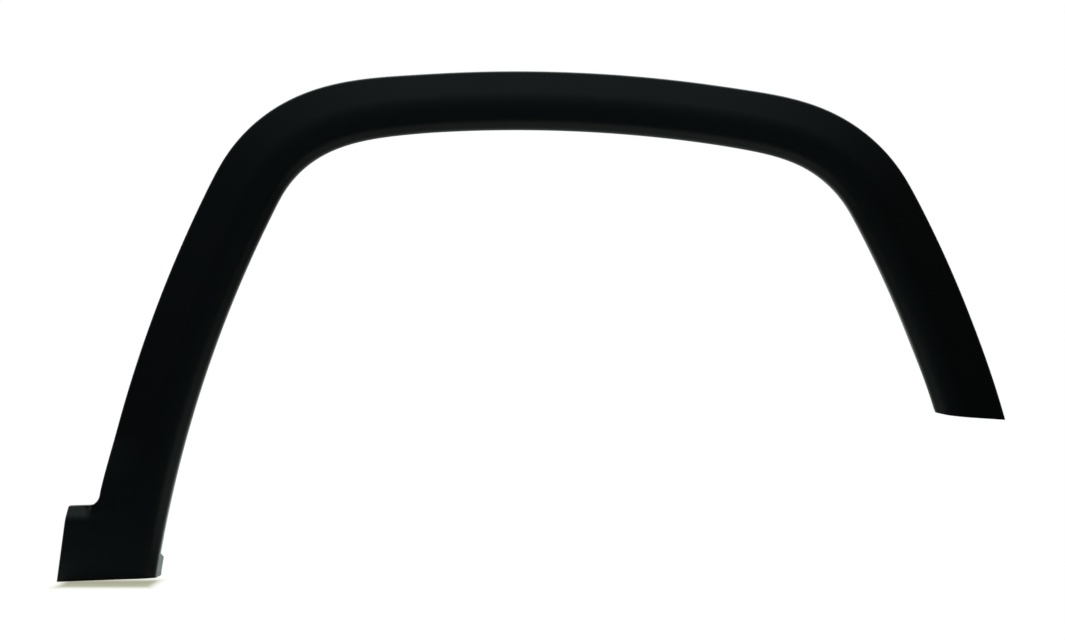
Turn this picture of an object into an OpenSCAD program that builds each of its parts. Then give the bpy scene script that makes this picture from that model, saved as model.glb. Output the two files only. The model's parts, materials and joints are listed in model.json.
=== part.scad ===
// Wheel arch trim: one moulded strip of black plastic that follows a wheel opening,
// with a block-shaped foot that meets the sill. The visible side faces -Y.
// The origin is the middle of the row of crown clips, on the plane of the clip seats.

/* [Arch line] */
// Radius of the centre line over the crown
crown_radius = 1470; // [1300:10:1700]
// Centre line of the crown above the line of the crown clips
crown_rise = 5.4; // [3:0.2:9]
// Crown length from the apex to the left shoulder
left_crown_len = 174.5; // [160:0.5:190]
// Radius of the left shoulder
left_shoulder_radius = 143; // [135:1:155]
// Angle through which the left shoulder turns
left_shoulder_turn = 56; // [53:0.5:59]
// Radius of the left leg, which is almost straight
left_leg_radius = 1350; // [1200:10:1600]
// Length over which the crown bends into the left shoulder
left_ease = 115; // [90:1:130]
// Crown length from the apex to the right shoulder
right_crown_len = 283.5; // [268:0.5:298]
// Radius of the right shoulder
right_shoulder_radius = 152; // [142:1:165]
// Angle through which the right shoulder turns
right_shoulder_turn = 50.5; // [48:0.5:53]
// Radius of the right leg
right_leg_radius = 1160; // [1000:10:1400]
// Length over which the crown bends into the right shoulder
right_ease = 80; // [60:1:110]
// Length over which each shoulder straightens into its leg
leg_ease = 24; // [12:1:40]

/* [Width] */
// Width across the crown
crown_w = 63.6; // [58:0.2:68]
// Width across the left leg
left_leg_w = 74.5; // [68:0.5:80]
// Width across the right leg
right_leg_w = 70.5; // [65:0.5:76]
// Length of crown that already widens before each shoulder starts to bend
widen_lead = 40; // [10:5:60]

/* [Section] */
// Wall thickness of the moulding
wall = 2.5; // [2:0.1:3]
// Height of the outer edge above the body panel
edge_h = 8; // [6:0.5:11]
// Height of the crest above the body panel
crest_h = 24; // [20:0.5:28]
// Height of the nose line, where the surface turns towards the wheel opening
nose_h = 25.5; // [22:0.5:30]
// Width of the band between the crest and the wheel opening
crest_band = 30; // [28:0.5:34]
// Length of the soft blend on each side of the crest
crest_blend = 10; // [4:0.5:12]
// Radius of the outer edge
edge_r = 3.2; // [3.1:0.1:4.5]
// Width of the sloping band between the nose line and the wheel opening
nose_band = 12.5; // [10:0.5:15]
// Fall of that band from the nose line to the flange
nose_fall = 7; // [5:0.5:9]
// Length of the soft blend on each side of the nose line
nose_blend = 5; // [2:0.5:6]
// Radius between the nose band and the flange
nose_r = 5; // [3.2:0.1:6]
// How far the wheel side flange reaches behind the body panel
flange_back = 8; // [6:0.5:14]
// Draft angle of the wheel side flange
flange_draft = 5.4; // [3:0.2:7]

/* [Foot] */
// Ledge on top of the foot, below the line of the crown clips
foot_drop = 422.5; // [415:0.5:430]
// Upper outer corner of the foot, to the left of the middle of the crown clips
foot_reach = 473.5; // [468:0.5:478]
// Height of the foot at its outer side
foot_tall = 79.5; // [70:0.5:86]
// Slope of the outer side from the vertical
foot_side_angle = 7.6; // [4:0.2:10]
// Slope of the lower end
foot_base_angle = 2.2; // [0:0.2:4]
// Height of the foot's face above the body panel at its outer side
foot_face_h = 22.5; // [20:0.5:24]
// Height of the sloping band on top of the foot
foot_bevel_tall = 14; // [11:0.5:18]
// Depth of the sloping band on top of the foot
foot_bevel_deep = 11; // [8:0.5:14]
// Height of the leg's edge above the body panel where it meets the foot
foot_neck_h = 19.5; // [18:0.5:21]
// Width of the step between the sloping band and the leg
foot_step_w = 4.5; // [3:0.5:6]
// Lean of the lower end, down from the face towards the body panel
foot_base_lean = 2.5; // [0:0.5:3]
// Radius of the inside corner between the ledge and the leg
foot_fillet = 13.5; // [10:0.5:15]
// Height of the deeper tab of the flange at the foot
tab_tall = 27; // [22:0.5:32]
// How far the tab reaches behind the flange
tab_deep = 20; // [14:0.5:24]
// Height of the sloping top of the tab
tab_chamfer = 5.5; // [3:0.5:8]
// How far the tab leans out towards the wheel
tab_flare = 1; // [0:0.5:3]

/* [Right end] */
// Outer corner of the right end, below the line of the crown clips
end_drop = 335; // [330:0.5:340]
// Slope of the right end, down towards its outer corner
end_slope = 8; // [5:0.5:10]
// Slope of the right end from the nose towards the body panel
end_lean = 9; // [5:0.5:12]

/* [Clip towers] */
// Distance of the clip seats from the body panel
seat_gap = 2; // [1:0.5:3]
// Diameter of the holes for the push-in clips
clip_hole_d = 8.5; // [7:0.5:9.5]
// Distance between the four crown clips
crown_pitch = 100; // [92:1:108]
// Pair of clips on the shoulders, below the crown clips
shoulder_drop = 72; // [64:1:80]
// Pair of clips half way down the legs
mid_drop = 188; // [180:1:196]
// Pair of clips low on the legs
low_drop = 294; // [288:1:300]
// Pair of clips in the foot
foot_clip_drop = 462; // [458:1:466]
// Distance between the two clips in the foot
foot_pitch = 46; // [44:1:50]
// Length of a tower along the trim
tower_len = 24; // [20:1:28]
// Width of a tower across the trim
tower_wide = 22; // [18:1:26]
// Thickness of a tower's walls
tower_wall = 2; // [1.6:0.1:2.4]
// Thickness of a clip seat
seat_t = 2.6; // [2:0.1:3]

/* [Ribs and locators] */
// Thickness of the ribs
rib_t = 1.6; // [1.2:0.1:2]
// Distance of the ribs from the body panel
rib_gap = 6; // [4:0.5:8]
// Diameter of the two locating pins
pin_d = 9; // [7:0.5:11]
// How far the locating pins reach behind the body panel
pin_back = 11; // [8:0.5:14]

/* [Hidden] */

// Depths are heights above the body panel, whose plane is y = seat_gap.
step = 4;                 // length of one step along the centre line
left_steps = 222;
right_steps = 190;
flank_stretch = 1.06;     // a sloping wall needs a little more depth for the same thickness
nose_share = 0.6;         // the sloping nose band needs less depth, as its end also moves inwards
ledge_draft = 0.6;        // fall of the ledge from the leg to the outer corner

// One side of the arch: crown length, shoulder radius and turn, leg radius, ease, leg width, steps
left = [left_crown_len, left_shoulder_radius, left_shoulder_turn, left_leg_radius,
        left_ease, left_leg_w, left_steps];
right = [right_crown_len, right_shoulder_radius, right_shoulder_turn, right_leg_radius,
         right_ease, right_leg_w, right_steps];

function clamp01(t) = min(1, max(0, t));
function smooth(t) = let (c = clamp01(t)) c * c * (3 - 2 * c);
function mix(a, b, t) = a + (b - a) * t;
function unit(v) = v / norm(v);

// Curvature changes along a straight ramp of the given span round each joint of two arcs.
function ramp(s, joint, span) = clamp01((s - joint) / span + 0.5);
function shoulder_len(side) = side[1] * side[2] * PI / 180;
function curvature(side, s) = 1 / crown_radius
    + (1 / side[1] - 1 / crown_radius) * ramp(s, side[0], side[4])
    + (1 / side[3] - 1 / side[1]) * ramp(s, side[0] + shoulder_len(side), leg_ease);
function half_turn(side, i) = curvature(side, (i + 0.5) * step) * step * 90 / PI;

// The strip widens over the shoulder.
function width_at(side, s) =
    let (from = side[0] - side[4] / 2 - widen_lead, to = side[0] + shoulder_len(side) + leg_ease)
    mix(crown_w, side[5], smooth((s - from) / (to - from)));

// Centre line from the apex down one side; each row is [x, z, heading below the horizontal, width]
function walk(side, dir) = [
    for (i = 0, x = 0, z = crown_rise, h = 0; i <= side[6];
         x = x + dir * step * cos(h + half_turn(side, i)),
         z = z - step * sin(h + half_turn(side, i)),
         h = h + 2 * half_turn(side, i),
         i = i + 1)
    [x, z, h, width_at(side, i * step)]];
left_line = walk(left, -1);
right_line = walk(right, 1);

// Edge points [x, z] abreast of a row, on the outer side or on the wheel side
function outward(row, dir) = [dir * sin(row[2]), cos(row[2])];
function outer_edge(row, dir, inset) = [row[0], row[1]] + outward(row, dir) * (row[3] / 2 - inset);
function wheel_edge(row, dir, inset) = [row[0], row[1]] - outward(row, dir) * (row[3] / 2 - inset);

// Edges of the legs as tables from z to x, and the centre line likewise
function outer_table(line, dir, inset) = [for (row = line) let (p = outer_edge(row, dir, inset)) [p.y, p.x]];
function wheel_table(line, dir, inset) = [for (row = line) let (p = wheel_edge(row, dir, inset)) [p.y, p.x]];
function centre_x(line, z) = lookup(z, [for (row = line) [row[1], row[0]]]);

// Rounded corner at q between the directions to p and r
function corner(p, q, r, radius, n) =
    let (u = unit(p - q), v = unit(r - q), half = acos(u * v) / 2,
         centre = q + unit(u + v) * radius / sin(half),
         from = q + u * radius / tan(half) - centre,
         a0 = atan2(from.y, from.x), sweep = 180 - 2 * half)
    [for (k = [0:n]) let (a = a0 - sweep * k / n) centre + radius * [cos(a), sin(a)]];

// Soft blend at q that leaves the direction to p and meets the direction to r, len from q
function blend(p, q, r, len, n) =
    let (a = q + unit(p - q) * len, b = q + unit(r - q) * len)
    [for (k = [0:n]) let (t = k / n) mix(mix(a, q, t), mix(q, b, t), t)];

// Skin of the section as [across, height]: edge, flank, crest, nose band and flange.
// knees are two points of the flank; back is how far the flange goes behind.
// On a narrow strip the bands take shares of its width, and a blend stops short of the next one.
edge_n = 2;
crest_n = 2;
brow_n = 2;
nose_n = 2;
function flank_w(w, inset) = w - min(crest_band, w * 0.6) + inset;
function section(w, edge, knees, back, out, inset) =
    let (drop = inset * flank_stretch,
         a = [0, 0], b = [0, edge - drop],
         k = [for (q = knees) [q.x, q.y - drop]],
         c = [flank_w(w, inset), crest_h - drop],
         d = [w - min(nose_band, w * 0.3) + inset, nose_h - drop],
         e = [w, nose_h - nose_fall - inset * nose_share], f = [w + out, -back],
         crest_len = min(crest_blend, norm(d - c) * 0.62, norm(c - k[1]) * 0.9),
         brow_len = min(nose_blend, norm(d - c) * 0.36, norm(e - d) * 0.5))
    concat([a], corner(a, b, k[0], edge_r - inset, edge_n), k,
           blend(k[1], c, d, crest_len, crest_n), blend(c, d, e, brow_len, brow_n),
           corner(d, e, f, nose_r - inset, nose_n), [f]);

// Section placed between the edge points a and b
function ring(a, b, edge, knees, back, out, lean, inset) =
    let (w = norm(b - a), across = (b - a) / w)
    [for (q = section(w, edge, knees, back, out, inset))
        [a.x + across.x * q.x, seat_gap - q.y, a.y + across.y * q.x + tan(lean) * (nose_h - q.y)]];

// The knees of a plain ring lie on the straight flank.
knee_shares = [0.3, 0.6];
function plain_ring(a, b, edge, lean, inset) =
    let (w = norm(b - a), flank = flank_w(w, inset))
    ring(a, b, edge, [for (k = knee_shares) [flank * k, mix(edge, crest_h, k)]],
         flange_back, flange_out, lean, inset);
flange_out = -(nose_h - nose_fall + flange_back) * tan(flange_draft);

// Rows of the arch whose rings stand square to the centre line: close together in the shoulders
straight_gap = 40;
shoulder_gap = 13.5;
function row_of(s) = round(s / step);
function rows_between(s0, s1, gap) =
    let (n = ceil((s1 - s0) / gap)) [for (k = [0:n - 1]) row_of(mix(s0, s1, k / n))];
function square_rows(side, last) =
    let (a = side[0] - side[4] / 2, b = side[0] + shoulder_len(side) + leg_ease / 2)
    concat(rows_between(0, a, straight_gap), rows_between(a, b, shoulder_gap),
           rows_between(b, last, straight_gap), [row_of(last)]);
left_last = 600;
right_last = 560;
left_rows = square_rows(left, left_last);
right_rows = square_rows(right, right_last);

// Levels of the foot
ledge_z = -foot_drop;
bevel_soft = 0.3;         // share of the sloping band over which it rounds off into the face
bevel_z = ledge_z - foot_bevel_tall * (1 + bevel_soft);
base_z = ledge_z - foot_tall;
fillet_z = ledge_z + foot_fillet;
tab_z = base_z + tab_tall;
foot_edge_h = foot_face_h - foot_bevel_deep;

// Outer side of the foot at a level
function foot_side_x(z, inset) = -foot_reach + (z - ledge_z) * tan(foot_side_angle) + inset;
// Share of the tab at a level: none above it, all of it below its sloping top
function tab_share(z) = clamp01((tab_z - z) / tab_chamfer);

// The ledge steps up to the leg where the fillet meets it.
function edge_at_fillet(inset) = lookup(fillet_z, outer_table(left_line, -1, inset));
function step_x(inset) = edge_at_fillet(0) - foot_fillet + inset * step_shift;
step_shift = 0.6;         // keeps the wall's thickness in the steep step
foot_knees = [0.12, 0.35];

// 0 to 1 along a straight ramp whose end is rounded over r of its length on both sides
function soft_end(t, r) = let (c = min(1 + r, max(0, t))) c < 1 - r ? c : 1 - pow(1 + r - c, 2) / (4 * r);

// Height of the foot at a distance past the start of the step: the sloping band outside it,
// the leg on top of it, and from there the flank up to the crest
function foot_height(past, to_crest, level) =
    let (down = (ledge_z - level) / foot_bevel_tall,
         low = mix(foot_edge_h, foot_face_h, soft_end(down, bevel_soft)),
         high = mix(foot_neck_h, foot_face_h, smooth(down - bevel_soft)),
         beyond = past - foot_step_w)
    beyond <= 0 ? mix(low, high, clamp01(past / foot_step_w))
                : mix(high, crest_h, beyond / (beyond + to_crest));

// Ring of the foot with its outer point at height z and its inner point at height zi
function foot_ring(x, z, zi, level, lean, inset) =
    let (a = [x, z], b = [lookup(zi, wheel_table(left_line, -1, inset)), zi], w = norm(b - a),
         flank = flank_w(w, inset), ahead = step_x(inset) - x,
         low = max(flank * foot_knees[0], ahead, edge_r),
         high = max(flank * foot_knees[1], ahead + foot_step_w, low + wall))
    ring(a, b, foot_height(-ahead, flank, level),
         [for (u = [low, high]) [u, foot_height(u - ahead, flank - u, level)]],
         flange_back + tab_deep * tab_share(zi), flange_out + tab_flare * tab_share(zi), lean, inset);

// The fillet runs from the leg's edge to the ledge, the ledge out to the corner, the side down.
// A foot that stands out less than its fillet has no ledge, and the leg's edge sweeps over to its side.
ledge_dir = foot_reach > foot_fillet - edge_at_fillet(0) ? 1 : -1;
function fillet_x(z, inset) =
    let (r = foot_fillet + inset * ledge_dir, up = clamp01((z - ledge_z + inset * ledge_dir) / r),
         round = 1 - sqrt(1 - pow(1 - up, 2)), edge = edge_at_fillet(inset))
    ledge_dir > 0 ? edge - r * round : mix(edge, foot_side_x(z, inset), round);
fillet_n = 5;
function foot_rings(inset) =
    let (top = ledge_z - inset * ledge_dir, bottom = base_z + (inset > 0 ? wall : 0),
         rise = tan(foot_base_angle),
         levels = [for (t = [0, 1 - bevel_soft, 1, 1 + bevel_soft])
                      mix(top - ledge_draft, bevel_z, t / (1 + bevel_soft))],
         lower = [mix(bevel_z, tab_z, 0.5), tab_z, tab_z - tab_chamfer,
                  mix(tab_z - tab_chamfer, bottom, 0.5), bottom])
    concat(
        [for (k = [1:fillet_n]) let (t = sin(90 * k / fillet_n), z = mix(fillet_z, top, t))
            foot_ring(fillet_x(z, inset), z, z, z, 0, inset)],
        [for (z = levels) foot_ring(foot_side_x(z, inset), z, z, z, 0, inset)],
        [for (z = lower) let (w = lookup(z, wheel_table(left_line, -1, 0)) - foot_side_x(z, 0),
                              zi = z + w * rise * (bevel_z - z) / (bevel_z - base_z))
            foot_ring(foot_side_x(z, inset), z, zi, z, z == bottom ? -foot_base_lean : 0, inset)]);

// Rings that turn from square to the centre line until they end at the heights zo1 and zi1
function run_out(line, dir, row, zo1, zi1, n, edge, lean, inset) =
    let (zo0 = outer_edge(row, dir, inset).y, zi0 = wheel_edge(row, dir, inset).y,
         outer = outer_table(line, dir, inset), wheel = wheel_table(line, dir, inset))
    [for (k = [1:n]) let (t = k / n, zo = mix(zo0, zo1, t), zi = mix(zi0, zi1, t))
        plain_ring([lookup(zo, outer), zo], [lookup(zi, wheel), zi],
                   mix(edge_h, edge, smooth(t)), lean * smooth(t), inset)];
function square_ring(line, dir, i, inset) =
    plain_ring(outer_edge(line[i], dir, inset), wheel_edge(line[i], dir, inset), edge_h, 0, inset);
function reversed(list) = [for (i = [len(list) - 1:-1:0]) list[i]];
end_inner = end_drop - right_leg_w * tan(end_slope);

// All rings from the lower end of the foot to the right end
function rings(inset) =
    let (shy = inset > 0 ? wall : 0,
         leg = run_out(left_line, -1, left_line[row_of(left_last)], fillet_z, fillet_z, 5,
                       foot_neck_h, 0, inset),
         tail = run_out(right_line, 1, right_line[row_of(right_last)],
                        -end_drop + shy, -end_inner + shy, 6, edge_h, end_lean, inset))
    concat(reversed(foot_rings(inset)), reversed(leg),
           [for (i = reversed(left_rows)) if (i > 0) square_ring(left_line, -1, i, inset)],
           [for (i = right_rows) square_ring(right_line, 1, i, inset)], tail);

// Faces of a grid of n rings of m points that starts at point at
function grid_faces(n, m, at, flip) = [
    for (i = [0:n - 2], j = [0:m - 2])
        let (p = at + i * m + j, q = p + m)
        each flip ? [[p, q + 1, q], [p, p + 1, q + 1]] : [[p, q, q + 1], [p, q + 1, p + 1]]];
function cap_faces(m, at, flip) = [
    for (j = [1:m - 2]) flip ? [at, at + j, at + j + 1] : [at, at + j + 1, at + j]];

// The shell: an outer skin, an inner skin one wall inside, and the rim that joins them
module shell() {
    outside = rings(0);
    inside = rings(wall);
    n = len(outside);
    m = len(outside[0]);
    far = n * m;
    last = (n - 1) * m;
    rim = concat(
        [for (i = [0:n - 2]) let (p = i * m, q = p + m)
            each [[p, p + far, q + far], [p, q + far, q]]],
        [for (i = [0:n - 2]) let (p = i * m + m - 1, q = p + m)
            each [[p, q + far, p + far], [p, q, q + far]]],
        [[0, m - 1, far + m - 1], [0, far + m - 1, far],
         [last, far + last + m - 1, last + m - 1], [last, far + last, far + last + m - 1]]);
    polyhedron(
        points = [for (r = outside) each r, for (r = inside) each r],
        faces = concat(grid_faces(n, m, 0, false), grid_faces(n, m, far, true),
                       cap_faces(m, 0, true), cap_faces(m, last, false),
                       cap_faces(m, far, false), cap_faces(m, far + last, true), rim));
}

// A closed body whose skin lies in the middle of the shell's wall: it trims ribs and towers to the shell
module core() {
    skin = rings(wall / 2);
    n = len(skin);
    m = len(skin[0]);
    last = (n - 1) * m;
    back = [for (i = [0:n - 2]) let (p = i * m, q = p + m)
        each [[p, p + m - 1, q + m - 1], [p, q + m - 1, q]]];
    polyhedron(points = [for (r = skin) each r],
               faces = concat(grid_faces(n, m, 0, false), cap_faces(m, 0, true),
                              cap_faces(m, last, false), back));
}

// Places of the clips: [x, z, turn about Y]
function beside(line, dir, drop) =
    [centre_x(line, -drop), -drop, dir * lookup(-drop, [for (row = line) [row[1], row[2]]])];
function foot_place(side) =
    let (z = -foot_clip_drop, mid = (foot_side_x(z, 0) + lookup(z, wheel_table(left_line, -1, 0))) / 2)
    [mid + side * foot_pitch / 2, z, 0];
crown_clips = [for (k = [-1.5:1.5]) [k * crown_pitch, 0, 0]];
shoulder_clips = [beside(left_line, -1, shoulder_drop), beside(right_line, 1, shoulder_drop)];
mid_clips = [beside(left_line, -1, mid_drop), beside(right_line, 1, mid_drop)];
low_clips = [beside(left_line, -1, low_drop), beside(right_line, 1, low_drop)];
foot_clips = [foot_place(-1), foot_place(1)];
clips = concat(crown_clips, shoulder_clips, mid_clips, low_clips, foot_clips);

// Ribs stand between the clips, and the pins between the outer pairs.
rib_pitch = crown_pitch / 2;
rib_rows = concat(
    [for (s = [rib_pitch:rib_pitch:left_last]) [left_line[row_of(s)], -1]],
    [for (s = [0:rib_pitch:right_last]) [right_line[row_of(s)], 1]]);
rib_clearance = tower_len * 1.2;
function clear_of_clips(x, z) =
    min([for (c = clips) norm([c[0] - x, c[1] - z])]) > rib_clearance;
pins = [beside(left_line, -1, (shoulder_drop + mid_drop) / 2),
        beside(right_line, 1, (shoulder_drop + mid_drop) / 2)];

reach = nose_h + wall;     // deeper than any point of the channel
cover = 2 * left_leg_w;    // wider than any part of the channel
cut_over = 1;              // how far a cut runs past the faces that it opens

module at_place(place) translate([place[0], 0, place[1]]) rotate([0, place[2], 0]) children();
// Extrudes an outline in X and Z towards the visible side, from a plane y = -start
module forward(len, start = 0) translate([0, -start, 0]) rotate([90, 0, 0]) linear_extrude(len) children();

// U-shaped clip tower, open towards the wheel, with its seat and the webs that tie it to the shell
module tower() {
    a = tower_len / 2;
    b = tower_wide / 2;
    t = tower_wall;
    forward(reach) polygon([[-a, -b], [-a, b], [a, b], [a, -b], [a - t, -b], [a - t, b - t],
                            [t - a, b - t], [t - a, -b]]);
    forward(seat_t) square([tower_len - t, tower_wide - t], center = true);
    forward(reach, rib_gap) for (side = [-1, 1])
        translate([side * (a - t / 2), 0]) square([rib_t, cover], center = true);
}

module rib(x, z, turn) at_place([x, z, turn])
    forward(reach, rib_gap) square([rib_t, cover], center = true);

// Cross-shaped locating pin with a tapered end; the cross runs down to the shell.
module pin_root() forward(reach, -seat_gap) cross(pin_d);
module pin_end() {
    tip = pin_d / 3;
    translate([0, seat_gap + pin_back - tip, 0]) forward(pin_back + seat_gap) cross(pin_d);
    translate([0, seat_gap + pin_back, 0]) forward(tip * 2) cross(pin_d - tip);
}
module cross(d) {
    square([d, rib_t], center = true);
    square([rib_t, d], center = true);
}

module arch_trim() color("#17191a") difference() {
    union() {
        shell();
        intersection() {
            core();
            union() {
                for (c = clips) at_place(c) tower();
                for (r = rib_rows) let (row = r[0])
                    if (clear_of_clips(row[0], row[1])) rib(row[0], row[1], r[1] * row[2]);
                for (p = pins) at_place(p) pin_root();
            }
        }
        for (p = pins) at_place(p) pin_end();
    }
    for (c = clips) at_place(c) translate([0, cut_over, 0]) rotate([90, 0, 0])
        cylinder(d = clip_hole_d, h = seat_t + 2 * cut_over, $fn = 48);
}

arch_trim();
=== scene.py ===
import json
import math
import bpy
import numpy as np
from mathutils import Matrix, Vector

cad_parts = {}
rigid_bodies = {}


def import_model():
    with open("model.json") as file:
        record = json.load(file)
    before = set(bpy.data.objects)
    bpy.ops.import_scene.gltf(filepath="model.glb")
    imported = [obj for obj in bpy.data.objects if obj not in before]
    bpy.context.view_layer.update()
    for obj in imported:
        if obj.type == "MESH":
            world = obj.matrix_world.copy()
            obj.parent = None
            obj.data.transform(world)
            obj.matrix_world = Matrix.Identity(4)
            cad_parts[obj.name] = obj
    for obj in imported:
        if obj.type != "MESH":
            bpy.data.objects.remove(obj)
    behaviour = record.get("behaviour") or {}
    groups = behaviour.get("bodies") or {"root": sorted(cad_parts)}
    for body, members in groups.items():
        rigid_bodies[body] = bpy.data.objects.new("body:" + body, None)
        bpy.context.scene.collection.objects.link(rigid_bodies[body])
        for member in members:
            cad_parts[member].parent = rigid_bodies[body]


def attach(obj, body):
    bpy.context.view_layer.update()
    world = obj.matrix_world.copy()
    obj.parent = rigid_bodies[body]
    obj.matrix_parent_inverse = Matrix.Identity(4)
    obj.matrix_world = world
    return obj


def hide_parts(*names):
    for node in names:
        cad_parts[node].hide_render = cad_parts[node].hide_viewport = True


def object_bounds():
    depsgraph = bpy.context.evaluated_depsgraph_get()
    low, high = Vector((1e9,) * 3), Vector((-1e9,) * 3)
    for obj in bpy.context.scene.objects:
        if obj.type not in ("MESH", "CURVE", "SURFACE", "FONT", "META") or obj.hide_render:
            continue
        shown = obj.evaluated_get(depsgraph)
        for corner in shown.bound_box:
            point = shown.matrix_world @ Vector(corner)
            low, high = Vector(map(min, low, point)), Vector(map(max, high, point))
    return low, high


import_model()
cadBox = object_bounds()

print("frame loaded")
mm = 0.001


# helpers

def toLinear(hexColour):
    # sRGB hex to the linear values that the shader sockets take: c / 12.92 for the darkest,
    # ((c + 0.055) / 1.055) to the power of 2.4 for the rest
    rgb = [int(hexColour[i:i + 2], 16) / 255 for i in (1, 3, 5)]
    return [c / 12.92 if c <= 0.04045 else ((c + 0.055) / 1.055) ** 2.4 for c in rgb] + [1.0]


def node(tree, kind, settings=None, inputs=None, links=None):
    # adds one node, sets its properties and inputs, and links other nodes' outputs into it
    n = tree.nodes.new(kind)
    for key, value in (settings or {}).items():
        setattr(n, key, value)
    for key, value in (inputs or {}).items():
        n.inputs[key].default_value = value
    for key, source in (links or {}).items():
        tree.links.new(source, n.inputs[key])
    return n


def newMaterial(name):
    mat = bpy.data.materials.new(name)
    mat.use_nodes = True
    mat.node_tree.nodes.clear()
    return mat, mat.node_tree


def meshPiece(name, points, faces, material):
    # a mesh object at the origin, in metres, from arrays of points and faces
    me = bpy.data.meshes.new(name)
    me.from_pydata(points.reshape(-1, 3).tolist(), [], [tuple(f) for f in faces])
    me.update()
    ob = bpy.data.objects.new(name, me)
    bpy.context.scene.collection.objects.link(ob)
    ob.data.materials.append(material)
    return ob


def smoothStep(t):
    # 3 t^2 - 2 t^3, level at 0 and at 1
    t = np.clip(t, 0, 1)
    return t * t * (3 - 2 * t)


def softEnd(t, r):
    # a straight ramp with a rounded upper end: t up to 1 - r, then 1 - (1 + r - t)^2 / 4r up to 1 + r
    t = np.clip(t, 0, 1 + r)
    return np.where(t < 1 - r, t, 1 - (1 + r - t) ** 2 / (4 * r))


def mix(a, b, t):
    # a + (b - a) t
    return a + (b - a) * t


# the trim, in millimetres and degrees: the sizes are those of the solid in the frame

archTrim = dict(
    crownRadius=1470, crownRise=5.4, crownWide=63.6, widenLead=40, legEase=24,
    left=dict(crown=174.5, radius=143, turn=56, legRadius=1350, ease=115, wide=74.5, long=888, square=600),
    right=dict(crown=283.5, radius=152, turn=50.5, legRadius=1160, ease=80, wide=70.5, long=760, square=560),
    wall=2.5, edgeHigh=8, crestHigh=24, noseHigh=25.5, crestBand=30, crestBlend=10,
    edgeRadius=3.2, noseBand=12.5, noseFall=7, noseBlend=5, noseRadius=5, flangeBack=8,
    flangeDraft=5.4, seatGap=2, kneeShares=(0.3, 0.6), kneeBlend=5, kneeRoom=0.42,
    flankStretch=1.06,  # a sloping wall needs a little more depth for the same thickness
    noseShare=0.6,      # the sloping nose band needs less, as its end also moves inwards
)
foot = dict(
    drop=422.5, reach=473.5, tall=79.5, sideAngle=7.6, baseAngle=2.2, faceHigh=22.5,
    bevelTall=14, bevelDeep=11, bevelSoft=0.3, neckHigh=19.5, stepWide=4.5, stepShift=0.6,
    baseLean=2.5, fillet=13.5, cornerRadius=1.2, kneeShares=(0.12, 0.35), kneeBlend=1.8,
    ledgeDraft=0.6, tabTall=27, tabDeep=20, tabChamfer=5.5, tabFlare=1,
)
rightEnd = dict(drop=335, slope=8, lean=9)

# how fine the mesh is: gaps between rings along the trim, points of each part of the section, rings
# of each part of the foot and of the two ends
finish = dict(
    step=1.0, crownGap=5, shoulderGap=3, legRings=24, tailRings=28,
    rimPoints=2, edgePoints=5, flankPoints=(3, 3, 4), kneePoints=6, crestPoints=8,
    bandPoints=3, browPoints=6, nosePoints=8, flangePoints=6,
    filletRings=14, ledgeRings=8, cornerTurns=(20, 40, 60, 80), bevelRings=18, bevelGap=3,
    sideRings=8, chamferRings=6, tabRings=8, sharpAngle=35,
)

ledgeZ = -foot["drop"]
bevelZ = ledgeZ - foot["bevelTall"] * (1 + foot["bevelSoft"])
baseZ = ledgeZ - foot["tall"]
filletZ = ledgeZ + foot["fillet"]
tabZ = baseZ + foot["tabTall"]
footEdgeHigh = foot["faceHigh"] - foot["bevelDeep"]
flangeOut = -(archTrim["noseHigh"] - archTrim["noseFall"] + archTrim["flangeBack"]) \
    * math.tan(math.radians(archTrim["flangeDraft"]))


def centreLine(side, direction):
    # Curvature is piecewise constant with straight ramps between crown, shoulder and leg. Its running
    # sum is the heading, and the running sum of the heading's cosine and sine is the line. The width
    # goes from the crown's to the leg's by a smooth step of the path length.
    a = archTrim
    step = finish["step"]
    count = int(side["long"] / step)
    s = (np.arange(count) + 0.5) * step
    shoulder = side["radius"] * math.radians(side["turn"])
    ramp = lambda joint, span: np.clip((s - joint) / span + 0.5, 0, 1)
    crownCurve, shoulderCurve, legCurve = 1 / a["crownRadius"], 1 / side["radius"], 1 / side["legRadius"]
    curve = (crownCurve + (shoulderCurve - crownCurve) * ramp(side["crown"], side["ease"])
             + (legCurve - shoulderCurve) * ramp(side["crown"] + shoulder, a["legEase"]))
    heading = np.concatenate([[0], np.cumsum(curve * step)])
    middle = (heading[:-1] + heading[1:]) / 2
    x = direction * np.concatenate([[0], np.cumsum(np.cos(middle) * step)])
    z = a["crownRise"] - np.concatenate([[0], np.cumsum(np.sin(middle) * step)])
    along = np.arange(count + 1) * step
    start = side["crown"] - side["ease"] / 2 - a["widenLead"]
    stop = side["crown"] + shoulder + a["legEase"]
    wide = mix(a["crownWide"], side["wide"], smoothStep((along - start) / (stop - start)))
    out = np.stack([direction * np.sin(heading), np.cos(heading)], 1)
    return dict(at=np.stack([x, z], 1), out=out, wide=wide, direction=direction, heading=heading)


leftLine = centreLine(archTrim["left"], -1)
rightLine = centreLine(archTrim["right"], 1)


def rails(line, inset):
    # outer and wheel edges: centre line plus and minus (half the width - inset) * outward direction
    half = (line["wide"] / 2 - inset)[:, None] * line["out"]
    return line["at"] + half, line["at"] - half


def xAt(edge, z):
    # x of a leg's edge at height z, straight between its points; z falls along the edge
    return np.interp(-np.asarray(z), -edge[:, 1], edge[:, 0])


def footSide(z):
    # x of the foot's outer side at height z: -reach at the ledge, then out by the drop * tan(sideAngle)
    return -foot["reach"] + (z - ledgeZ) * math.tan(math.radians(foot["sideAngle"]))


def towards(q, p):
    # unit directions from the points q to the points p
    return (p - q) / np.linalg.norm(p - q, axis=1, keepdims=True)


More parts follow.
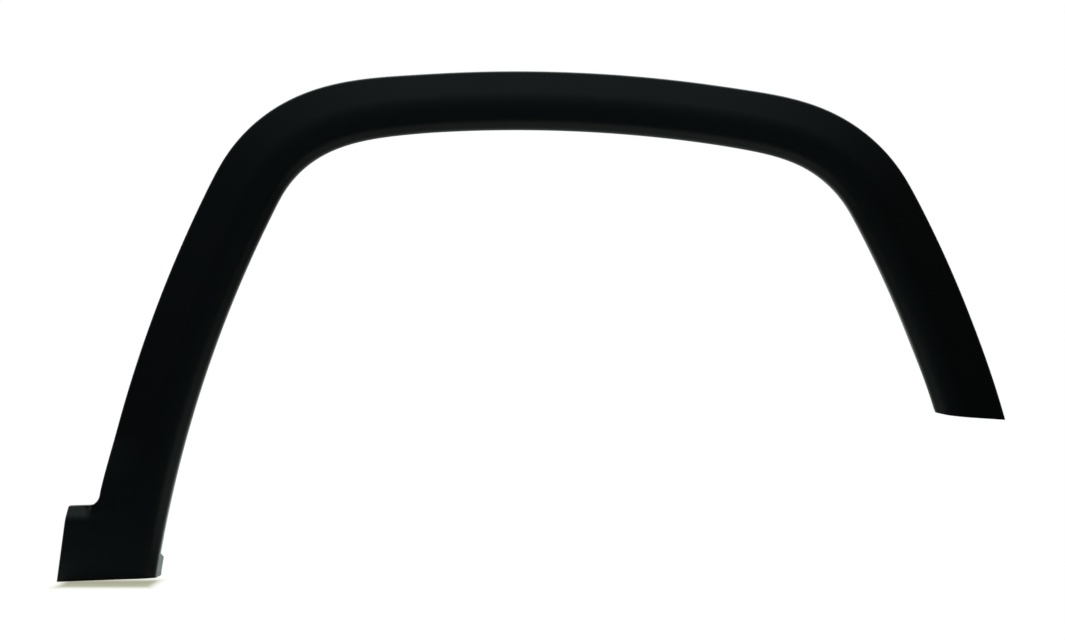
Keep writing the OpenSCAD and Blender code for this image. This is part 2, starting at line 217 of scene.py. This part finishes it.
def roundCorner(p, q, r, radius, count):
    # Arcs at the corners q between the directions to p and r, one for each ring: the centre lies
    # radius / sin(half the corner's angle) from q on the bisector, and the arc sweeps pi less the angle.
    u, v = towards(q, p), towards(q, r)
    half = np.arccos(np.clip((u * v).sum(1), -1, 1)) / 2
    middle = (u + v) / np.linalg.norm(u + v, axis=1, keepdims=True)
    centre = q + middle * (radius / np.sin(half))[:, None]
    first = q + u * (radius / np.tan(half))[:, None] - centre
    sweep = (math.pi - 2 * half)[:, None] * np.linspace(0, 1, count)
    angle = np.arctan2(first[:, 1], first[:, 0])[:, None] - sweep
    return centre[:, None] + radius * np.stack([np.cos(angle), np.sin(angle)], 2)


def softBlend(p, q, r, length, count):
    # quadratic curves a (1 - t)^2 + 2 q t (1 - t) + b t^2, with a and b a length from q towards p and r
    a = (q + towards(q, p) * length)[:, None]
    b = (q + towards(q, r) * length)[:, None]
    t = np.linspace(0, 1, count)[None, :, None]
    return a * (1 - t) ** 2 + 2 * q[:, None] * t * (1 - t) + b * t ** 2


def straight(a, b, count):
    # a (1 - t) + b t at evenly spaced t, without the two ends
    t = np.linspace(0, 1, count + 2)[1:-1][None, :, None]
    return a[:, None] * (1 - t) + b[:, None] * t


def sections(ring, inset):
    # Section of each ring as points [across, height]: straight pieces from the edge over two knees, the
    # crest and the brow to the nose and down the flange, with arcs at the edge and the nose and
    # quadratic blends between. At a depth the heights drop by inset * flankStretch.
    a = archTrim
    f = finish
    count = len(ring["wide"])
    drop = inset * a["flankStretch"]
    col = lambda x, y: np.stack(np.broadcast_arrays(x, y, np.zeros(count)), 1)[:, :2].astype(float)
    gap = lambda p, q: np.linalg.norm(p - q, axis=1)
    start = col(0, 0)
    edge = col(0, ring["edge"] - drop)
    low = ring["low"] - [0, drop]
    high = ring["high"] - [0, drop]
    crest = col(ring["wide"] - a["crestBand"] + inset, a["crestHigh"] - drop)
    brow = col(ring["wide"] - a["noseBand"] + inset, a["noseHigh"] - drop)
    nose = col(ring["wide"], a["noseHigh"] - a["noseFall"] - inset * a["noseShare"])
    end = col(ring["wide"] + ring["flare"], -ring["back"])
    corner = roundCorner(start, edge, low, a["edgeRadius"] - inset, f["edgePoints"])

    def knee(p, q, r):
        # a blend that leaves some of the shorter neighbour straight
        length = np.minimum(ring["kneeBlend"], a["kneeRoom"] * np.minimum(gap(p, q), gap(q, r)))
        return softBlend(p, q, r, length[:, None], f["kneePoints"])

    lowCurve = knee(corner[:, -1], low, high)
    highCurve = knee(low, high, crest)
    crestCurve = softBlend(high, crest, brow, a["crestBlend"], f["crestPoints"])
    browCurve = softBlend(crest, brow, nose, a["noseBlend"], f["browPoints"])
    noseCurve = roundCorner(brow, nose, end, a["noseRadius"] - inset, f["nosePoints"])
    toLow, toHigh, toCrest = f["flankPoints"]
    return np.concatenate([
        start[:, None], straight(start, corner[:, 0], f["rimPoints"]), corner,
        straight(corner[:, -1], lowCurve[:, 0], toLow), lowCurve,
        straight(lowCurve[:, -1], highCurve[:, 0], toHigh), highCurve,
        straight(highCurve[:, -1], crestCurve[:, 0], toCrest), crestCurve,
        straight(crestCurve[:, -1], browCurve[:, 0], f["bandPoints"]), browCurve,
        straight(browCurve[:, -1], noseCurve[:, 0], f["bandPoints"]), noseCurve,
        straight(noseCurve[:, -1], end, f["flangePoints"]), end[:, None]], 1)


def plainRings(outer, wheel, inset, edge, lean):
    # Rings of the arch between matching points of the outer edge and the wheel edge: the width is their
    # distance, and the knees lie at fixed shares of the straight line from the edge up to the crest.
    a = archTrim
    wide = np.linalg.norm(wheel - outer, axis=1)
    flank = wide - a["crestBand"] + inset
    low, high = (np.stack([flank * share, mix(edge, a["crestHigh"], share) + flank * 0], 1)
                 for share in a["kneeShares"])
    return dict(outer=outer, wheel=wheel, wide=wide, lean=lean + wide * 0, edge=edge + wide * 0,
                low=low, high=high, back=a["flangeBack"] + wide * 0, flare=flangeOut + wide * 0,
                kneeBlend=a["kneeBlend"] + wide * 0)


def footHeight(past, toCrest, level):
    # Height at a distance past the start of the step: low before it, a straight ramp from low to high
    # over its width, and from there in proportion to the way left up to the crest. Low goes over the
    # sloping band with a soft lower end, high from the neck to the face by a smooth step.
    down = (ledgeZ - level) / foot["bevelTall"]
    low = mix(footEdgeHigh, foot["faceHigh"], softEnd(down, foot["bevelSoft"]))
    high = mix(foot["neckHigh"], foot["faceHigh"], smoothStep(down - foot["bevelSoft"]))
    beyond = past - foot["stepWide"]
    onStep = mix(low, high, np.clip(past / foot["stepWide"], 0, 1))
    onFlank = mix(high, archTrim["crestHigh"], np.maximum(beyond, 0) / (np.maximum(beyond, 0) + toCrest))
    return np.where(beyond <= 0, onStep, onFlank)


stepX = float(xAt(rails(leftLine, 0)[0], filletZ)) - foot["fillet"]  # where the step up to the leg starts


def footRings(x, z, zWheel, inset, wheelRail):
    # Rings of the foot from outer points (x, z) to the wheel edge at zWheel: the knees lie at shares of
    # the flank or at the two ends of the step, whichever is further in, at the height that footHeight
    # gives there. Below tabZ the flange grows to the tab's depth over its chamfer.
    wheel = np.stack([xAt(wheelRail, zWheel), zWheel], 1)
    outer = np.stack([x, z], 1)
    wide = np.linalg.norm(wheel - outer, axis=1)
    flank = wide - archTrim["crestBand"] + inset
    ahead = stepX + inset * foot["stepShift"] - x
    knees = (np.maximum(flank * share, ahead + more)
             for share, more in zip(foot["kneeShares"], (0, foot["stepWide"])))
    low, high = (np.stack([u, footHeight(u - ahead, flank - u, z)], 1) for u in knees)
    tab = np.clip((tabZ - zWheel) / foot["tabChamfer"], 0, 1)
    lean = wide * 0
    lean[-1] = -foot["baseLean"]
    return dict(outer=outer, wheel=wheel, wide=wide, lean=lean, edge=footHeight(-ahead, flank, z),
                low=low, high=high, back=archTrim["flangeBack"] + foot["tabDeep"] * tab,
                flare=flangeOut + foot["tabFlare"] * tab, kneeBlend=foot["kneeBlend"] + wide * 0)


def squareRings(side, outer, wheel, inset):
    # rings square to the centre line: crownGap apart on crown and leg, shoulderGap apart between them
    bend = side["crown"] - side["ease"] / 2
    leg = side["crown"] + side["radius"] * math.radians(side["turn"]) + archTrim["legEase"]
    s = np.concatenate([np.arange(0, bend, finish["crownGap"]), np.arange(bend, leg, finish["shoulderGap"]),
                        np.arange(leg, side["square"], finish["crownGap"]), [side["square"]]])
    i = np.unique(np.round(s / finish["step"]).astype(int))
    return plainRings(outer[i], wheel[i], inset, archTrim["edgeHigh"], 0)


def runOut(side, outer, wheel, inset, ends, count, edge, lean):
    # Rings from the last square one to an end: the heights of both edges go straight to the end's two,
    # and the edge's own height and the lean go to theirs by a smooth step.
    t = np.arange(1, count + 1) / count
    i = int(side["square"] / finish["step"])
    zOuter = mix(outer[i, 1], ends[0], t)
    zWheel = mix(wheel[i, 1], ends[1], t)
    return plainRings(np.stack([xAt(outer, zOuter), zOuter], 1), np.stack([xAt(wheel, zWheel), zWheel], 1),
                      inset, mix(archTrim["edgeHigh"], edge, smoothStep(t)), lean * smoothStep(t))


def footOutline(leftOuter, inset, shy):
    # outer points of the foot: round the fillet, along the ledge, round its corner, over the sloping
    # band and down the side to the base; quarter circles for fillet and corner, straight lines between
    f = finish
    top = ledgeZ - inset
    turn = np.radians(90 * np.arange(1, f["filletRings"] + 1) / f["filletRings"])
    filletX = xAt(leftOuter, filletZ) - (foot["fillet"] + inset) * (1 - np.cos(turn))
    filletLevel = mix(filletZ, top, np.sin(turn))
    radius = foot["cornerRadius"]
    ledgeX = np.linspace(filletX[-1], footSide(top) + inset + radius, f["ledgeRings"] + 1)[1:]
    ledgeLevel = top - foot["ledgeDraft"] * np.linspace(0, 1, f["ledgeRings"] + 1)[1:]
    bend = np.radians(np.array(f["cornerTurns"]))
    cornerLevel = top - foot["ledgeDraft"] - radius * (1 - np.cos(bend))
    cornerX = footSide(cornerLevel) + inset + radius * (1 - np.sin(bend))
    chamferEnd = tabZ - foot["tabChamfer"]
    sideLevel = np.concatenate([np.linspace(top - foot["ledgeDraft"] - radius, bevelZ, f["bevelRings"]),
                                np.linspace(bevelZ - f["bevelGap"], tabZ, f["sideRings"]),
                                np.linspace(tabZ, chamferEnd, f["chamferRings"])[1:],
                                np.linspace(chamferEnd, baseZ + shy, f["tabRings"])[1:]])
    x = np.concatenate([filletX, ledgeX, cornerX, footSide(sideLevel) + inset])
    return x, np.concatenate([filletLevel, ledgeLevel, cornerLevel, sideLevel])


def skin(inset):
    # Grid of points of the skin at the given depth below the visible surface, ring by ring from the
    # foot to the right end. A section's point [u, height] goes to outer edge + u * direction to the
    # wheel edge, with y = seatGap - height and z moved by tan(lean) * (noseHigh - height).
    a = archTrim
    shy = a["wall"] if inset > 0 else 0  # the inner skin stops a wall short of both ends
    leftOuter, leftWheel = rails(leftLine, inset)
    rightOuter, rightWheel = rails(rightLine, inset)
    left = squareRings(a["left"], leftOuter, leftWheel, inset)
    right = squareRings(a["right"], rightOuter, rightWheel, inset)
    leg = runOut(a["left"], leftOuter, leftWheel, inset, (filletZ, filletZ), finish["legRings"],
                 foot["neckHigh"], 0)
    endWheel = rightEnd["drop"] - a["right"]["wide"] * math.tan(math.radians(rightEnd["slope"]))
    tail = runOut(a["right"], rightOuter, rightWheel, inset, (-rightEnd["drop"] + shy, -endWheel + shy),
                  finish["tailRings"], a["edgeHigh"], rightEnd["lean"])

    # the wheel ends of the foot's rings rise by the base's angle, growing from the sloping band down
    x, z = footOutline(leftOuter, inset, shy)
    below = np.clip((bevelZ - z) / (bevelZ - baseZ), 0, None)
    wide = xAt(rails(leftLine, 0)[1], z) - footSide(z)
    zWheel = z + wide * math.tan(math.radians(foot["baseAngle"])) * below
    footPart = footRings(x, z, zWheel, inset, leftWheel)

    flip = lambda group: {k: v[::-1] for k, v in group.items()}
    crown = {k: v[:-1] for k, v in flip(left).items()}  # the ring in the middle is the right side's
    parts = [flip(footPart), flip(leg), crown, right, tail]
    ring = {k: np.concatenate([p[k] for p in parts]) for k in footPart}
    section = sections(ring, inset)
    height = section[:, :, 1]
    across = (ring["wheel"] - ring["outer"]) / ring["wide"][:, None]
    flat = ring["outer"][:, None] + across[:, None] * section[:, :, 0:1]
    lean = np.tan(np.radians(ring["lean"]))[:, None] * (a["noseHigh"] - height)
    return np.stack([flat[:, :, 0], a["seatGap"] - height, flat[:, :, 1] + lean], 2) * mm


def gridFaces(rows, cols, first, flip):
    # quads p, p + 1, p + cols + 1, p + cols of a grid whose points are numbered from first, row by row
    i, j = np.meshgrid(np.arange(rows - 1), np.arange(cols - 1), indexing="ij")
    p = (first + i * cols + j).ravel()
    quad = np.stack([p, p + 1, p + cols + 1, p + cols], 1)
    return quad[:, ::-1] if flip else quad


def shellMesh(name, material):
    # outer skin and inner skin, joined by a rim along the back edges and closed at both ends
    outside = skin(0)
    inside = skin(archTrim["wall"])
    rows, cols = outside.shape[:2]
    far = rows * cols
    last = (rows - 1) * cols
    faces = gridFaces(rows, cols, 0, False).tolist() + gridFaces(rows, cols, far, True).tolist()
    p = np.arange(rows - 1) * cols
    faces += np.stack([p, p + cols, p + cols + far, p + far], 1).tolist()
    p = p + cols - 1
    faces += np.stack([p, p + far, p + cols + far, p + cols], 1).tolist()
    ring = np.arange(cols)
    faces += [ring[::-1].tolist(), (last + ring).tolist()]
    faces += [(far + ring).tolist(), (far + last + ring)[::-1].tolist()]
    faces += [[0, far, far + cols - 1, cols - 1], [last, last + cols - 1, far + last + cols - 1, far + last]]
    points = np.concatenate([outside.reshape(-1, 3), inside.reshape(-1, 3)])
    # the finer steps reach a hundredth of a millimetre past the solid, so the box limits them
    return meshPiece(name, np.clip(points, cadBox[0], cadBox[1]), faces, material)


# what stands behind the skin, in millimetres: clip towers with their webs, ribs and two locating pins

backDetail = dict(
    clipHole=8.5, pitch=100, crownPlaces=(-1.5, -0.5, 0.5, 1.5), shoulderDrop=72, midDrop=188,
    lowDrop=294, footDrop=462, footPitch=46,
    towerLong=24, towerWide=22, towerWall=2, seatThick=2.6,
    ribThick=1.6, ribGap=6, ribClear=1.2, pinDiameter=9, pinTip=3, pinBack=11,
    holeSides=64, cutOver=1,
)


def prism(name, outline, near, far, place, material):
    # Outline of points (u, v), counter-clockwise from the front, carried from y=near to y=far (in mm).
    # place is x, z and a turn about Y in degrees: a point goes to x + u cos + v sin, z - u sin + v cos.
    x, z, turn = place
    c, s = math.cos(math.radians(turn)), math.sin(math.radians(turn))
    o = np.asarray(outline, float)
    flat = np.stack([x + o[:, 0] * c + o[:, 1] * s, z - o[:, 0] * s + o[:, 1] * c], 1)
    level = lambda y: np.stack([flat[:, 0], np.full(len(o), y), flat[:, 1]], 1)
    n = len(o)
    i = np.arange(n)
    j = (i + 1) % n
    faces = np.stack([i, j, j + n, i + n], 1).tolist() + [(i + n).tolist(), i[::-1].tolist()]
    return meshPiece(name, np.concatenate([level(near), level(far)]) * mm, faces, material)


def rectangle(wide, high, x=0):
    # four corners, half the width and half the height from (x, 0)
    return [[x - wide / 2, -high / 2], [x + wide / 2, -high / 2],
            [x + wide / 2, high / 2], [x - wide / 2, high / 2]]


def beside(line, drop):
    # place on the centre line of a leg at a drop below the origin, turned with it
    x = np.interp(drop, -line["at"][:, 1], line["at"][:, 0])
    heading = np.interp(drop, -line["at"][:, 1], line["heading"])
    return x, -drop, line["direction"] * math.degrees(heading)


def clipPlaces():
    # the crown's row a pitch apart, a pair at each drop, and two on either side of the foot's middle
    d = backDetail
    z = -d["footDrop"]
    middle = (footSide(z) + float(xAt(rails(leftLine, 0)[1], z))) / 2
    row = [(k * d["pitch"], 0, 0) for k in d["crownPlaces"]]
    pairs = [beside(line, d[drop]) for drop in ("shoulderDrop", "midDrop", "lowDrop")
             for line in (leftLine, rightLine)]
    return row + pairs + [(middle + k * d["footPitch"] / 2, z, 0) for k in (-1, 1)]


def ribPlaces(clips):
    # a rib every half pitch along both sides where no clip tower stands near; the middle is the right's
    gap = backDetail["pitch"] / 2
    clear = backDetail["towerLong"] * backDetail["ribClear"]
    out = []
    taken = np.array([[c[0], c[1]] for c in clips])
    for line, side, first in ((leftLine, archTrim["left"], 1), (rightLine, archTrim["right"], 0)):
        for k in range(first, int(side["square"] / gap) + 1):
            i = int(k * gap / finish["step"])
            at = line["at"][i]
            if np.linalg.norm(taken - at, axis=1).min() > clear:
                out.append((at[0], at[1], line["direction"] * math.degrees(line["heading"][i])))
    return out


def skinBody(name, inset, material):
    # closed body that trims towers and ribs: the skin at the given depth as its front, one flat strip
    # between its two back edges, and a face at each end
    points = skin(inset)
    rows, cols = points.shape[:2]
    last = (rows - 1) * cols
    p = np.arange(rows - 1) * cols
    ring = np.arange(cols)
    faces = gridFaces(rows, cols, 0, False).tolist() + [ring[::-1].tolist(), (last + ring).tolist()]
    faces += np.stack([p, p + cols, p + 2 * cols - 1, p + cols - 1], 1).tolist()
    return meshPiece(name, points, faces, material)


def combine(base, steps):
    # runs boolean steps (operation, list of pieces) on base, keeps the result as its mesh, removes the pieces
    groups = []
    for operation, pieces in steps:
        group = bpy.data.collections.new("cutters")
        for ob in pieces:
            group.objects.link(ob)
        mod = base.modifiers.new(operation, "BOOLEAN")
        mod.operation = operation
        mod.solver = "MANIFOLD"
        mod.operand_type = "COLLECTION"
        mod.collection = group
        groups.append(group)
    bpy.context.view_layer.update()
    result = bpy.data.meshes.new_from_object(base.evaluated_get(bpy.context.evaluated_depsgraph_get()))
    base.modifiers.clear()
    old = base.data
    base.data = result
    bpy.data.meshes.remove(old)
    for group in groups:
        for ob in list(group.objects):
            bpy.data.meshes.remove(ob.data)
        bpy.data.collections.remove(group)


def innerParts(clips, material):
    # Every clip's tower (an open box), seat and two webs, and every rib. They run forward past the
    # visible skin and to both sides past its edges, and are trimmed to the inside of the wall later.
    d = backDetail
    a, b, t = d["towerLong"] / 2, d["towerWide"] / 2, d["towerWall"]
    deep = -(archTrim["noseHigh"] + archTrim["wall"])
    cover = 2 * archTrim["left"]["wide"]
    uShape = [[t - a, -b], [t - a, b - t], [a - t, b - t], [a - t, -b], [a, -b], [a, b], [-a, b], [-a, -b]]
    out = []
    for place in clips:
        out.append(prism("tower", uShape, 0, deep, place, material))
        out.append(prism("seat", rectangle(2 * a - t, 2 * b - t), 0, -d["seatThick"], place, material))
        for side in (-1, 1):
            web = rectangle(d["ribThick"], cover, side * (a - t / 2))
            out.append(prism("web", web, -d["ribGap"], deep - d["ribGap"], place, material))
    for place in ribPlaces(clips):
        rib = rectangle(d["ribThick"], cover)
        out.append(prism("rib", rib, -d["ribGap"], deep - d["ribGap"], place, material))
    return out


def pinParts(place, material):
    # cross-shaped locating pin: a root down to the skin, a shaft and a thinner end
    d = backDetail
    tip = d["pinTip"]
    gap, end = archTrim["seatGap"], archTrim["seatGap"] + d["pinBack"]
    bar = lambda size, near, far: [prism("pin", rectangle(*wh), near, far, place, material)
                                   for wh in ((size, d["ribThick"]), (d["ribThick"], size))]
    root = bar(d["pinDiameter"], gap, gap - archTrim["noseHigh"] - archTrim["wall"])
    return root, bar(d["pinDiameter"], end - tip, -tip) + bar(d["pinDiameter"] - tip, end, end - 2 * tip)


# the one material: sizes in millimetres

plasticLook = dict(
    deep="#050706", pale="#070807", drift=60, driftDetail=3.0, rough=(0.40, 0.46),
    grain=0.9, grainSoft=0.6, grainDepth=0.04, grainStrength=0.12, ior=1.49,
    specular=0.233,  # less than the usual 0.5, to match the very dark faces
)


def mouldedPolypropylene():
    # Black polypropylene, coloured in the mass and moulded against a finely eroded tool: the eye gets
    # a deep neutral black with a broad dull sheen, and a fine pebble grain close up. Tone and roughness
    # follow one broad noise, and the bump's height is the distance from the middle of a grain.
    look = plasticLook
    mat, tree = newMaterial("moulded_black_polypropylene")
    coords = node(tree, "ShaderNodeTexCoord").outputs["Object"]
    grain = node(tree, "ShaderNodeTexVoronoi", {"feature": "SMOOTH_F1"},
                 {"Scale": 1 / (look["grain"] * mm), "Smoothness": look["grainSoft"]}, {"Vector": coords})
    drift = node(tree, "ShaderNodeTexNoise", None,
                 {"Scale": 1 / (look["drift"] * mm), "Detail": look["driftDetail"]}, {"Vector": coords})
    bump = node(tree, "ShaderNodeBump", None,
                {"Strength": look["grainStrength"], "Distance": look["grainDepth"] * mm},
                {"Height": grain.outputs["Distance"]})
    tone = node(tree, "ShaderNodeMix", {"data_type": "RGBA"},
                {6: toLinear(look["deep"]), 7: toLinear(look["pale"])}, {0: drift.outputs["Fac"]})
    least, most = look["rough"]
    rough = node(tree, "ShaderNodeMapRange", None, {"To Min": least, "To Max": most},
                 {"Value": drift.outputs["Fac"]})
    shader = node(tree, "ShaderNodeBsdfPrincipled", None,
                  {"IOR": look["ior"], "Specular IOR Level": look["specular"]},
                  {"Base Color": tone.outputs[2], "Roughness": rough.outputs[0], "Normal": bump.outputs[0]})
    node(tree, "ShaderNodeOutputMaterial", None, None, {"Surface": shader.outputs[0]})
    return mat


plastic = mouldedPolypropylene()
trim = shellMesh("arch_trim_moulding", plastic)
clips = clipPlaces()
pinDrop = (backDetail["shoulderDrop"] + backDetail["midDrop"]) / 2
pins = [pinParts(beside(line, pinDrop), plastic) for line in (leftLine, rightLine)]
structure = innerParts(clips, plastic) + pins[0][0] + pins[1][0]
behind = structure.pop(0)
# cut off in the middle of the wall, so that towers, webs, ribs and pins grow out of it
combine(behind, [("UNION", structure), ("INTERSECT", [skinBody("core", archTrim["wall"] / 2, plastic)])])
print("back detail built:", len(behind.data.polygons), "faces")
angle = np.linspace(0, 2 * math.pi, backDetail["holeSides"], endpoint=False)
circle = np.stack([np.cos(angle), np.sin(angle)], 1) * backDetail["clipHole"] / 2
over = backDetail["cutOver"]
holes = [prism("hole", circle, over, -backDetail["seatThick"] - over, place, plastic) for place in clips]
combine(trim, [("UNION", [behind] + pins[0][1] + pins[1][1]), ("DIFFERENCE", holes)])
trim.data.shade_smooth()
trim.data.set_sharp_from_angle(angle=math.radians(finish["sharpAngle"]))
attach(trim, "root")
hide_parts("arch_trim")
print("trim built:", len(trim.data.polygons), "faces")


# camera, in millimetres: level with the middle of the picture, far enough for the photograph's slight
# perspective; perPixel is the size of a pixel of the photograph in the plane of the trim

view = dict(distance=2500, plane=-3, centreX=17.4, centreZ=-226.4, perPixel=1.06, pixelsWide=1065, sensor=36)
cam = bpy.data.objects.new("camera", bpy.data.cameras.new("camera"))
bpy.context.scene.collection.objects.link(cam)
cam.data.sensor_fit = "HORIZONTAL"
cam.data.sensor_width = view["sensor"]
cam.data.lens = view["sensor"] * view["distance"] / (view["perPixel"] * view["pixelsWide"])
cam.location = Vector((view["centreX"], view["plane"] - view["distance"], view["centreZ"])) * mm
cam.rotation_euler = (math.radians(90), 0, 0)
bpy.context.scene.camera = cam


# the table, in metres: a sheet of white paper under the foot, with a painted shadow around the foot: darker,
# yellowish paper on top of the real shadow that falls there

tableTop = dict(
    corners=((-0.65, -0.09), (-0.365, -0.09), (-0.36, -0.02), (-0.32, -0.02), (-0.3, -0.09), (-0.12, -0.43),
             (0.4, -0.43), (0.4, 0.7), (-0.65, 0.7)),
    # the paper's own white, then a painted shadow near the foot: darker, yellowish paper and a weak yellowish
    # glow that the lens sees there, with its middle and its reach in x and y
    paper="#fbfbf9", paintedShadow="#7e7e72", paintedShadowSeen="#fcfcde", paintedShadowGlow=0.41,
    patchAt=(-0.4275, -0.03), patchX=(0.042, 0.058), patchY=(0.016, 0.058),
)


def tablePaper(level):
    # White paper, painted darker and yellowish near the foot: a painted shadow on top of the lamp's real one,
    # which the trim also reflects.
    # There the lens sees the light that falls on this painted paper and a weak yellowish glow, past it plain
    # white: share of white = the greater of the smoothsteps of the distances from the painted shadow's middle
    # in x and y.
    mat, tree = newMaterial("table_paper")
    path = node(tree, "ShaderNodeLightPath")
    spot = node(tree, "ShaderNodeTexCoord").outputs["Object"]
    offset = node(tree, "ShaderNodeVectorMath", {"operation": "SUBTRACT"},
                  {1: (*tableTop["patchAt"], level)}, {0: spot})
    offset = node(tree, "ShaderNodeVectorMath", {"operation": "ABSOLUTE"}, None, {0: offset.outputs[0]})
    axes = node(tree, "ShaderNodeSeparateXYZ", None, None, {0: offset.outputs[0]})
    shares = [node(tree, "ShaderNodeMapRange", {"interpolation_type": "SMOOTHSTEP"},
                   {"From Min": near, "From Max": far}, {"Value": axes.outputs[axis]}).outputs[0]
              for axis, (near, far) in (("X", tableTop["patchX"]), ("Y", tableTop["patchY"]))]
    share = node(tree, "ShaderNodeMath", {"operation": "MAXIMUM"}, None, {0: shares[0], 1: shares[1]})
    glowShare = node(tree, "ShaderNodeMapRange", None, {"To Min": tableTop["paintedShadowGlow"]},
                     {"Value": share.outputs[0]})
    seen = node(tree, "ShaderNodeMath", {"operation": "MULTIPLY"}, None,
                {0: glowShare.outputs[0], 1: path.outputs["Is Camera Ray"]})
    tones = [node(tree, "ShaderNodeMix", {"data_type": "RGBA"},
                  {6: toLinear(inside), 7: toLinear(outside)}, {0: share.outputs[0]}).outputs[2]
             for inside, outside in ((tableTop["paintedShadow"], tableTop["paper"]),
                                     (tableTop["paintedShadowSeen"], "#ffffff"))]
    paper = node(tree, "ShaderNodeBsdfDiffuse", None, None, {"Color": tones[0]})
    glow = node(tree, "ShaderNodeEmission", None, {"Strength": 1.0}, {"Color": tones[1]})
    both = node(tree, "ShaderNodeMixShader", None, None,
                {0: seen.outputs[0], 1: paper.outputs[0], 2: glow.outputs[0]})
    node(tree, "ShaderNodeOutputMaterial", None, None, {"Surface": both.outputs[0]})
    return mat


floorZ = cadBox[0][2]
sheet = np.array([[x, y, floorZ] for x, y in tableTop["corners"]])
floor = meshPiece("floor", sheet, [list(range(len(sheet)))], tablePaper(floorZ))


# the room: a white wall behind the trim, and in front a dark room under a dim cool ceiling. Each tuple
# is a smoothstep of the unit direction that the light comes from: axis, start, stop, value at each

room = dict(
    wall="#e6e2d8", ceiling="#98aab3", ceilingPower=0.8,
    fade=("X", -0.1, 0.7, 1.0, 0.4),      # the ceiling's light falls off to the right
    glow=("Y", -0.75, -1.0, 0.02, 0.55),  # nearly dark, with a dim glow straight in front
    side=("Y", -0.15, 0.35, 0.0, 1.0),    # from the front of the room to the wall behind
)


def roomLight():
    # White to the lens all round. For light, front = ceiling colour * the greater of
    # height ** ceilingPower * fade(x) and glow(y), and light = mix of front and wall colour by side(y).
    world = bpy.data.worlds.new("studio_room")
    bpy.context.scene.world = world
    world.use_nodes = True
    tree = world.node_tree
    tree.nodes.clear()
    path = node(tree, "ShaderNodeLightPath")
    direction = node(tree, "ShaderNodeTexCoord").outputs["Generated"]
    split = node(tree, "ShaderNodeSeparateXYZ", None, None, {0: direction})

    fade, glow, side = [node(tree, "ShaderNodeMapRange", {"interpolation_type": "SMOOTHSTEP"},
                             {"From Min": start, "From Max": stop, "To Min": first, "To Max": last},
                             {"Value": split.outputs[axis]}).outputs[0]
                        for axis, start, stop, first, last in (room["fade"], room["glow"], room["side"])]
    height = node(tree, "ShaderNodeMath", {"operation": "MAXIMUM"}, {1: 0.0}, {0: split.outputs["Z"]})
    height = node(tree, "ShaderNodeMath", {"operation": "POWER"}, {1: room["ceilingPower"]},
                  {0: height.outputs[0]})
    front = node(tree, "ShaderNodeMath", {"operation": "MULTIPLY"}, None, {0: height.outputs[0], 1: fade})
    front = node(tree, "ShaderNodeMath", {"operation": "MAXIMUM"}, None, {0: front.outputs[0], 1: glow})
    ceiling = node(tree, "ShaderNodeVectorMath", {"operation": "SCALE"}, {0: toLinear(room["ceiling"])[:3]},
                   {"Scale": front.outputs[0]})
    light = node(tree, "ShaderNodeMix", {"data_type": "RGBA"}, {7: toLinear(room["wall"])},
                 {0: side, 6: ceiling.outputs[0]})
    seen = node(tree, "ShaderNodeMix", {"data_type": "RGBA"}, {7: toLinear("#ffffff")},
                {0: path.outputs["Is Camera Ray"], 6: light.outputs[2]})
    back = node(tree, "ShaderNodeBackground", None, {"Strength": 1.0}, {"Color": seen.outputs[2]})
    node(tree, "ShaderNodeOutputWorld", None, None, {"Surface": back.outputs[0]})


roomLight()


# one broad lamp overhead, in metres and watts

softBox = dict(colour="#e2fff8", at=(0.05, 0.75, 1.35), size=(2.6, 1.4), power=52)
lamp = bpy.data.lights.new("soft_box_above", "AREA")
lamp.shape = "RECTANGLE"
lamp.size, lamp.size_y = softBox["size"]
lamp.energy = softBox["power"]
lamp.color = toLinear(softBox["colour"])[:3]
lampOb = bpy.data.objects.new("soft_box_above", lamp)
lampOb.location = softBox["at"]
bpy.context.scene.collection.objects.link(lampOb)

bpy.context.scene.view_settings.view_transform = "Standard"
print("studio ready")
